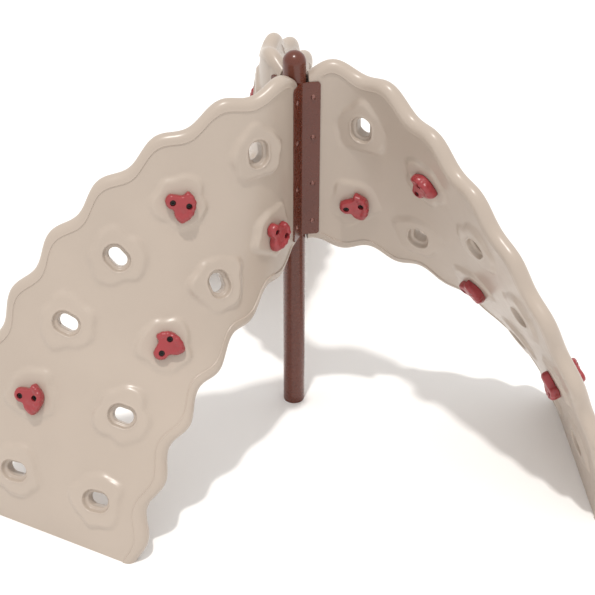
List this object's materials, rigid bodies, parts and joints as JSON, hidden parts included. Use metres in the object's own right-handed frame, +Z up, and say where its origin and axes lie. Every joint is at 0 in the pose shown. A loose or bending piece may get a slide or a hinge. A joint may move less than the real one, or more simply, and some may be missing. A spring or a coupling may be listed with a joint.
{
  "type": "playground climbing wall",
  "caption": "Free-standing playground climber: twisted moulded panels with hand holes and bolt-on grips, flanged round a capped centre post.",
  "frame": {"origin": "on the post's axis, at the ground", "axes": "+Z up along the post; +X the way the tongue of panel a leaves the post; panels b and c are turned 120 and 240 degrees clockwise seen from above"},
  "size_m": [2.5617, 2.4333, 1.6155],
  "materials": {
    "powder_coat": "satin brown powder coat",
    "coated_fasteners": "satin, painted to match the flanges",
    "panel_plastic": "semi-matte moulded tan, fine moulding grain",
    "grip_plastic": "gritty red cast resin",
    "plated_steel": "dark plated",
    "insert_brass": "machined"
  },
  "bodies": {
    "root": {"centre_post": "powder_coat", "post_cap": "powder_coat", "panel_a": "panel_plastic", "flange_convex_a": "powder_coat", "flange_concave_a": "powder_coat", "flange_bolts_a": "coated_fasteners", "flange_nuts_a": "coated_fasteners", "grip_convex_1_a": "grip_plastic", "grip_concave_1_a": "grip_plastic", "grip_convex_2_a": "grip_plastic", "grip_concave_2_a": "grip_plastic", "grip_convex_3_a": "grip_plastic", "grip_concave_3_a": "grip_plastic", "grip_convex_4_a": "grip_plastic", "grip_concave_4_a": "grip_plastic", "grip_bolts_a": "plated_steel", "grip_inserts_a": "insert_brass", "panel_b": "panel_plastic", "flange_convex_b": "powder_coat", "flange_concave_b": "powder_coat", "flange_bolts_b": "coated_fasteners", "flange_nuts_b": "coated_fasteners", "grip_convex_1_b": "grip_plastic", "grip_concave_1_b": "grip_plastic", "grip_convex_2_b": "grip_plastic", "grip_concave_2_b": "grip_plastic", "grip_convex_3_b": "grip_plastic", "grip_concave_3_b": "grip_plastic", "grip_convex_4_b": "grip_plastic", "grip_concave_4_b": "grip_plastic", "grip_bolts_b": "plated_steel", "grip_inserts_b": "insert_brass", "panel_c": "panel_plastic", "flange_convex_c": "powder_coat", "flange_concave_c": "powder_coat", "flange_bolts_c": "coated_fasteners", "flange_nuts_c": "coated_fasteners", "grip_convex_1_c": "grip_plastic", "grip_concave_1_c": "grip_plastic", "grip_convex_2_c": "grip_plastic", "grip_concave_2_c": "grip_plastic", "grip_convex_3_c": "grip_plastic", "grip_concave_3_c": "grip_plastic", "grip_convex_4_c": "grip_plastic", "grip_concave_4_c": "grip_plastic", "grip_bolts_c": "plated_steel", "grip_inserts_c": "insert_brass"}
  },
  "joints": []
}
